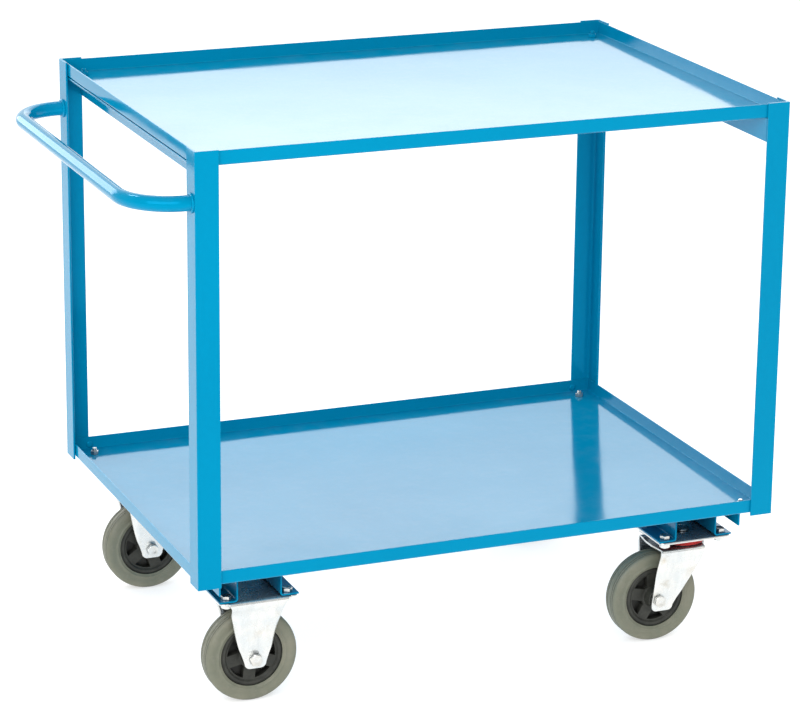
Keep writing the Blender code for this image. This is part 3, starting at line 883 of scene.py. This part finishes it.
# ---- castors ---------------------------------------------------------------------------
def tyre_mesh():
    """A solid tyre: grooved tread edges, swelling sidewalls and a raised bead."""
    half = [
        (0.0800, 0.0000), (0.0800, 0.0048), (0.0798, 0.0052), (0.0790, 0.0055),
        (0.0789, 0.0061), (0.0790, 0.0067), (0.0798, 0.0070), (0.0800, 0.0074),
        (0.0800, 0.0102), (0.0798, 0.0106), (0.0789, 0.0109), (0.0788, 0.0115),
        (0.0789, 0.0121), (0.0795, 0.0124), (0.0794, 0.0133), (0.0790, 0.0143),
        (0.0780, 0.0158), (0.0764, 0.0170), (0.0740, 0.0178), (0.0712, 0.0180),
        (0.0680, 0.0177), (0.0650, 0.0170), (0.0626, 0.0168), (0.0610, 0.0171),
        (0.0600, 0.0178), (0.0588, 0.0179), (0.0576, 0.0174), (0.0566, 0.0164),
        (0.0556, 0.0162), (0.0545, 0.0160), (0.0540, 0.0155),
    ]
    profile = half + [(radius, -y) for radius, y in reversed(half[1:])]
    return crisp(lathe("tyre", profile, 128, "Y"), 38)


def wheel_centre_mesh():
    """A moulded centre: both faces as one height over radius and angle, with spokes."""
    hub, spoke, pocket, rim = HUB_HALF, 0.0122, 0.0012, 0.0150
    radial = [
        (AXLE_BORE, hub - 0.0008, 1), (AXLE_BORE + 0.0008, hub, 1), (0.0125, hub, 1),
        (0.0130, hub - 0.0007, 1), (0.0160, hub - 0.0007, 1), (0.0168, hub - 0.0014, 1),
        (0.0176, 0.0165, 1), (0.0190, 0.0130, 1), (0.0205, spoke, 1), (0.0226, spoke, 1),
        (0.0234, spoke, 0), (0.0300, spoke, 0), (0.0360, spoke, 0), (0.0412, spoke, 0),
        (0.0420, spoke, 1), (0.0442, spoke + 0.0002, 1), (0.0458, rim - 0.0012, 1),
        (0.0468, rim - 0.0002, 1), (0.0478, rim, 1), (0.0508, rim, 1),
        (0.0516, rim - 0.0008, 1), (0.0528, rim - 0.0010, 1), (RIM_RADIUS, rim - 0.0020, 1),
    ]
    sector = math.tau / SPOKES
    bm = bmesh.new()
    faces = []
    for face in (-1, 1):
        rings = []
        for radius, height, solid in radial:
            edge = math.asin(min(0.95, 0.0112 / max(radius, 0.0180)))
            edge = min(edge, sector * 0.40)
            slant = min(0.0007 / radius, sector * 0.05)
            stops = [0.0, edge * 0.5, edge - slant, edge + slant]
            gap = sector / 2 - (edge + slant)
            stops += [edge + slant + gap * part for part in (0.12, 0.4, 0.7)]
            sector_stops = [(-s, n) for n, s in reversed(list(enumerate(stops)))][:-1]
            sector_stops += [(s, n) for n, s in enumerate(stops)]
            sector_stops += [(sector / 2, len(stops))]
            ring = []
            for index in range(SPOKES):
                for angle, stop in sector_stops:
                    sunk = stop >= 3 and not solid
                    level = pocket if sunk else height
                    turn = angle + sector * index
                    place = (radius * math.sin(turn), face * level, radius * math.cos(turn))
                    ring.append(bm.verts.new(place))
            rings.append(ring)
        for first, second in zip(rings, rings[1:]):
            for i in range(len(first)):
                bm.faces.new((first[i - 1], first[i], second[i], second[i - 1]))
        faces.append(rings)
    for ring in (0, -1):
        first, second = faces[0][ring], faces[1][ring]
        for i in range(len(first)):
            bm.faces.new((first[i - 1], first[i], second[i], second[i - 1]))
    return crisp(to_mesh(bm, "wheel_centre"), 32)


def make_wheels():
    """Tyres and centres, each wheel stopped at its own turn."""
    parts = (("tyre", tyre_mesh(), RUBBER), ("wheel_centre", wheel_centre_mesh(), DARK))
    for side, sy, end, sx in CORNERS:
        place = shift(*middle(f"tyre_{side}_{end}"))
        spin = turned_by((-30 if sx < 0 else -5) - (25 if sy > 0 else 0), "Y")
        for part, mesh, finish in parts:
            turned = mesh.copy()
            turned.transform(spin)
            stand_in(f"{part}_{side}_{end}", turned, finish, place)


def smoothed(stations, parts=4):
    """Extra stations on a smooth curve through the given ones."""
    made = []
    for i in range(len(stations) - 1):
        a = stations[max(i - 1, 0)]
        b, c = stations[i], stations[i + 1]
        d = stations[min(i + 2, len(stations) - 1)]
        for step in range(parts):
            t = step / parts
            row = []
            for p, q, r, s in zip(a, b, c, d):
                one = (r - p) / 2
                two = (s - q) / 2
                cubic = (2 * q - 2 * r + one + two) * t ** 3
                square = (-3 * q + 3 * r - 2 * one - two) * t ** 2
                row.append(cubic + square + one * t + q)
            made.append(tuple(row))
    made.append(stations[-1])
    return made


def leg_foot(offset, bottom, left, right, corner, steps=8):
    """Stations (offset, height, left, right, roll) up a leg's rounded foot."""
    stations = []
    for step in range(steps + 1):
        angle = math.radians(90 * step / steps)
        height = bottom + corner * (1 - math.cos(angle))
        inset = corner * (1 - math.sin(angle))
        stations.append((offset, height, left + inset, right - inset, 0.0))
    return stations


def pressed_fork(name, foot, upper, over=()):
    """A sheet up one leg, over the top and down the other, with edges rolled inwards."""
    half = foot[:-1] + smoothed([foot[-1]] + upper) + list(over)
    rows = [(-y, z, left, right, -roll) for y, z, left, right, roll in half]
    rows += reversed(half)
    side = (1.0, 0.97, 0.93, 0.88, 0.82, 0.74, 0.5, 0.25)
    across = [-u for u in side] + [0.0] + list(reversed(side))
    bm = bmesh.new()
    grid = []
    for y, z, left, right, roll in rows:
        line = []
        for u in across:
            lip = max(0.0, (abs(u) - 0.74) / 0.26) ** 2
            x = (left + right) / 2 + u * (right - left) / 2
            line.append(bm.verts.new((x, y - roll * lip, z)))
        grid.append(line)
    for first, second in zip(grid, grid[1:]):
        for i in range(len(across) - 1):
            bm.faces.new((first[i], first[i + 1], second[i + 1], second[i]))
    mesh = bpy.data.meshes.new(name)
    bm.to_mesh(mesh)
    bm.free()
    obj = scratch(mesh)
    sheet = obj.modifiers.new("sheet", "SOLIDIFY")
    sheet.thickness = FORK_SHEET
    sheet.offset = 0.0
    sheet.use_even_offset = True
    rim = obj.modifiers.new("rim", "BEVEL")
    rim.width = 0.0007
    rim.segments = 2
    rim.limit_method = "ANGLE"
    rim.angle_limit = math.radians(60)
    return baked(obj, name)


def axle_drill(x):
    return drill(AXLE_BORE, -BORE_REACH, BORE_REACH, 32, "Y", (x, 0, WHEEL_RADIUS))


def plate_drills(low):
    """Pins for a castor plate's four bolt holes, from low to above its top."""
    return [
        drill(MOUNT_THREAD + GAP, low, CASTOR_HEIGHT + OVERSHOOT,
              centre=(sx * PLATE_HOLE_X, sy * PLATE_HOLE_Y, 0))
        for sx in (-1, 1)
        for sy in (-1, 1)
    ]


def plate_corners():
    """The four rounded corners of a castor plate, each with its signs along X and Y."""
    for sx, sy, start in ((1, 1, 0), (-1, 1, 90), (-1, -1, 180), (1, -1, 270)):
        x = sx * (PLATE_LENGTH / 2 - PLATE_CORNER)
        y = sy * (PLATE_DEPTH / 2 - PLATE_CORNER)
        yield sx, sy, arc(x, y, PLATE_CORNER, start, start + 90, 6)


def fixed_bracket_mesh():
    """A one-piece pressing: flared legs bend over into the plate that is bolted up."""
    leg = FORK_INNER + FORK_SHEET / 2
    top = CASTOR_HEIGHT - FORK_SHEET / 2 - 0.0003
    edge = PLATE_DEPTH / 2 - FORK_SHEET / 2
    bend = 0.0052
    over = []
    for y, z in arc(edge - bend, top - bend, bend, 15, 90, 5):
        share = (z - top + bend) / bend
        half = 0.0497 + 0.0043 * share
        over.append((y, z, -half, half, 0.0))
    over.append((0.014, top, -0.0540, 0.0540, 0.0))
    legs = pressed_fork("bracket", leg_foot(leg, 0.064, -0.0190, 0.0190, 0.010), [
        (leg, 0.090, -0.0243, 0.0243, 0.0),
        (leg + 0.0025, 0.1025, -0.0280, 0.0280, 0.4 * EDGE_ROLL),
        (leg + 0.0075, 0.131, -0.0350, 0.0350, EDGE_ROLL),
        (leg + 0.0135, 0.154, -0.0405, 0.0405, EDGE_ROLL),
        (leg + 0.0152, 0.168, -0.0445, 0.0445, 0.5 * EDGE_ROLL),
        (edge - 0.0015, 0.179, -0.0465, 0.0465, 0.1 * EDGE_ROLL),
        (edge, top - bend, -0.0497, 0.0497, 0.0),
    ], over)
    notch = PLATE_DEPTH / 2 - bend
    outline = []
    for sx, sy, corner in plate_corners():
        inner = [(sx * 0.0552, sy * PLATE_DEPTH / 2), (sx * 0.0538, sy * notch)]
        outline += corner + inner if sx == sy else inner[::-1] + corner
    plate = prism("plate", outline, CASTOR_HEIGHT - FORK_SHEET, CASTOR_HEIGHT)
    bracket = cut(rounded(plate, 0.0006), [legs], "UNION")
    drills = plate_drills(CASTOR_HEIGHT - OVERSHOOT)
    return crisp(cut(bracket, drills + [axle_drill(0)]), 34)


def swivel_fork_mesh():
    """Raked legs under a round crown, made about the swivel axis."""
    leg = FORK_INNER + FORK_SHEET / 2
    flat = CROWN_TOP - 0.001 - FORK_SHEET / 2
    axle = -SWIVEL_TRAIL
    legs = pressed_fork("fork", leg_foot(leg, 0.0605, axle - 0.0137, axle + 0.0260, 0.009), [
        (leg, 0.080, axle - 0.0130, axle + 0.0327, 0.0),
        (leg, 0.092, axle - 0.0112, axle + 0.0420, 0.0),
        (leg + 0.001, 0.105, axle - 0.0095, axle + 0.0502, 0.1 * EDGE_ROLL),
        (leg + 0.004, 0.130, axle - 0.0070, axle + 0.0660, 0.3 * EDGE_ROLL),
        (leg + 0.009, 0.150, axle - 0.0055, axle + 0.0745, 0.3 * EDGE_ROLL),
        (leg + 0.012, 0.167, axle - 0.0042, axle + 0.0795, 0.1 * EDGE_ROLL),
        (leg + 0.0115, 0.1715, axle - 0.0035, axle + 0.0800, 0.0),
        (leg + 0.0090, flat, axle - 0.0025, axle + 0.0800, 0.0),
        (0.012, flat, axle - 0.0060, axle + 0.0850, 0.0),
    ])
    crown = lathe("crown", [
        (0.0040, CROWN_BOTTOM), (0.0372, CROWN_BOTTOM), (0.0392, CROWN_BOTTOM + 0.0006),
        (0.0404, CROWN_BOTTOM + 0.0022), (0.0408, 0.1690), (0.0406, 0.1718),
        (0.0398, 0.1738), (0.0384, 0.1752), (0.0364, CROWN_TOP), (0.0040, CROWN_TOP),
    ], 72)
    body = cut(legs, [crown], "UNION")
    pin_drill = drill(PIN_RADIUS + GAP, 0.14, 0.20, 40)
    return crisp(cut(body, [pin_drill, axle_drill(axle)]), 34)


def swivel_plate_mesh():
    """A flat plate with four bolt holes and the king pin's hole."""
    outline = [point for _, _, corner in plate_corners() for point in corner]
    low = CASTOR_HEIGHT - SWIVEL_PLATE_THICK
    plate = rounded(prism("plate", outline, low, CASTOR_HEIGHT), 0.0007)
    bottom, top = low - OVERSHOOT, CASTOR_HEIGHT + OVERSHOOT
    drills = plate_drills(bottom) + [drill(PIN_RADIUS + GAP, bottom, top, 40)]
    return crisp(cut(plate, drills), 34)


def dust_seal_mesh(low, high):
    """A moulded ring with a bulging wall and a thin lip at each face."""
    rise = high - low
    outer = SEAL_RADIUS
    inner = SEAL_RADIUS - 0.012
    wall = [
        (inner, low), (outer - 0.0012, low), (outer - 0.0003, low + 0.06 * rise),
        (outer - 0.0006, low + 0.14 * rise), (outer - 0.0014, low + 0.20 * rise),
        (outer - 0.0006, low + 0.32 * rise), (outer, low + 0.50 * rise),
        (outer - 0.0006, low + 0.68 * rise), (outer - 0.0014, low + 0.80 * rise),
        (outer - 0.0006, low + 0.86 * rise), (outer - 0.0003, low + 0.94 * rise),
        (outer - 0.0012, high), (inner, high),
    ]
    return crisp(lathe("dust_seal", wall, 96), 50)


def king_pin_mesh(low, high):
    """A riveted pin: a domed head above the plate, a nut under the crown."""
    seat = high - 0.005
    head = disc("head", [
        (0, seat), (0.0122, seat), (0.0130, seat + 0.0006), (0.0129, seat + 0.0022),
        (0.0118, seat + 0.0037), (0.0094, seat + 0.0046), (0.0055, high), (0, high),
    ], 40)
    nut = hexagon(0.024, CROWN_BOTTOM - 0.0105, CROWN_BOTTOM - GAP, True, False)
    rod = threaded(PIN_RADIUS, low, seat + 0.001, 0.002)
    return crisp(joined("king_pin", [(head, Matrix()), (nut, Matrix()), (rod, Matrix())]), 30)


def make_castors():
    """Fixed castors under the handle's end and swivel castors under the other."""
    bracket, fork, plate = fixed_bracket_mesh(), swivel_fork_mesh(), swivel_plate_mesh()
    for side, _ in SIDES:
        spot = middle(f"tyre_{side}_left")
        place = shift(spot.x, spot.y, 0)
        stand_in(f"fixed_bracket_{side}_left", bracket.copy(), ZINC, place)
        spot = middle(f"swivel_plate_{side}_right")
        place = shift(spot.x, spot.y, 0)
        stand_in(f"swivel_fork_{side}_right", fork.copy(), ZINC, place)
        stand_in(f"swivel_plate_{side}_right", plate.copy(), ZINC, place)
        low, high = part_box(f"dust_seal_{side}_right")
        stand_in(f"dust_seal_{side}_right", dust_seal_mesh(low.z, high.z), RED, place)
        low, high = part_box(f"king_pin_{side}_right")
        stand_in(f"king_pin_{side}_right", king_pin_mesh(low.z, high.z), ZINC, place)


make_posts()
make_bearers()
make_trays()
make_handle()
make_beams()
make_mount_bolts()
make_axles()
make_tray_bolts()
make_wheels()
make_castors()


# ---- stage, light and camera -----------------------------------------------------------
CAMERA_LENS = 146.54
CAMERA_PLACE = (-2.03015, -4.99725, 2.15428)
CAMERA_AHEAD = (0.36384, 0.88312, -0.29619)
CAMERA_UP = (0.10295, 0.27791, 0.95508)
SWEEP_DIRECTION = (0.37, 0.93, 0.0)
STUDIO_STRENGTH = 0.60
SWEEP_STRENGTH = 1.46


def make_floor():
    """A wide plain floor just under the wheels."""
    bm = bmesh.new()
    bmesh.ops.create_grid(bm, x_segments=8, y_segments=8, size=30.0)
    mesh = bpy.data.meshes.new("studio_floor")
    bm.to_mesh(mesh)
    bm.free()
    mesh.materials.append(white_floor())
    floor = bpy.data.objects.new("studio_floor", mesh)
    bpy.context.scene.collection.objects.link(floor)
    floor.location.z = -0.0002


def area_light(name, place, aim, size, radiance):
    """A soft panel of a given radiance; the camera doesn't see it."""
    lamp = bpy.data.lights.new(name, "AREA")
    lamp.shape = "RECTANGLE"
    lamp.size, lamp.size_y = size
    lamp.energy = radiance * math.pi * size[0] * size[1]
    panel = bpy.data.objects.new(name, lamp)
    bpy.context.scene.collection.objects.link(panel)
    panel.location = place
    panel.rotation_mode = "QUATERNION"
    panel.rotation_quaternion = (Vector(aim) - Vector(place)).to_track_quat("-Z", "Y")
    panel.visible_camera = False


def make_world():
    """A dim studio with a brighter sweep behind the object."""
    world = bpy.data.worlds.new("studio")
    world.use_nodes = True
    bpy.context.scene.world = world
    tree = world.node_tree
    back = tree.nodes["Background"]
    direction = tree.nodes.new("ShaderNodeTexCoord")
    towards = tree.nodes.new("ShaderNodeVectorMath")
    towards.operation = "DOT_PRODUCT"
    towards.inputs[1].default_value = SWEEP_DIRECTION
    tree.links.new(direction.outputs["Generated"], towards.inputs[0])
    rise = tree.nodes.new("ShaderNodeMapRange")
    rise.interpolation_type = "SMOOTHSTEP"
    rise.inputs["From Min"].default_value = 0.35
    rise.inputs["From Max"].default_value = 0.95
    rise.inputs["To Min"].default_value = STUDIO_STRENGTH
    rise.inputs["To Max"].default_value = SWEEP_STRENGTH
    tree.links.new(towards.outputs["Value"], rise.inputs["Value"])
    tree.links.new(rise.outputs["Result"], back.inputs["Strength"])
    back.inputs["Color"].default_value = (1.0, 1.0, 1.0, 1.0)


def make_camera():
    """A long lens from the front left, a little above the upper tray."""
    lens = bpy.data.cameras.new("camera")
    lens.sensor_fit = "HORIZONTAL"
    lens.sensor_width = 36.0
    lens.lens = CAMERA_LENS
    lens.clip_start = 0.1
    lens.clip_end = 200.0
    camera = bpy.data.objects.new("camera", lens)
    bpy.context.scene.collection.objects.link(camera)
    ahead = Vector(CAMERA_AHEAD).normalized()
    right = ahead.cross(Vector(CAMERA_UP)).normalized()
    turn = Matrix((right, right.cross(ahead), -ahead)).transposed().to_4x4()
    camera.matrix_world = Matrix.Translation(CAMERA_PLACE) @ turn
    bpy.context.scene.camera = camera


make_floor()
make_world()
make_camera()
area_light("backdrop", (2.5, 3.2, 2.75), (0.3, 0.0, 0.9), (4.4, 2.6), 1.05)
area_light("strobe", (-1.3, 1.1, 3.0), (0.0, 0.0, 0.9), (0.7, 0.5), 11.0)
area_light("key", (-2.5, -3.8, 3.0), (0.0, 0.0, 0.6), (5.0, 2.8), 4.4)
area_light("side", (-1.65, 3.1, 1.7), (-0.6, 0.0, 0.8), (1.7, 1.9), 3.2)
view = bpy.context.scene.view_settings
view.view_transform = "Standard"
view.look = "None"
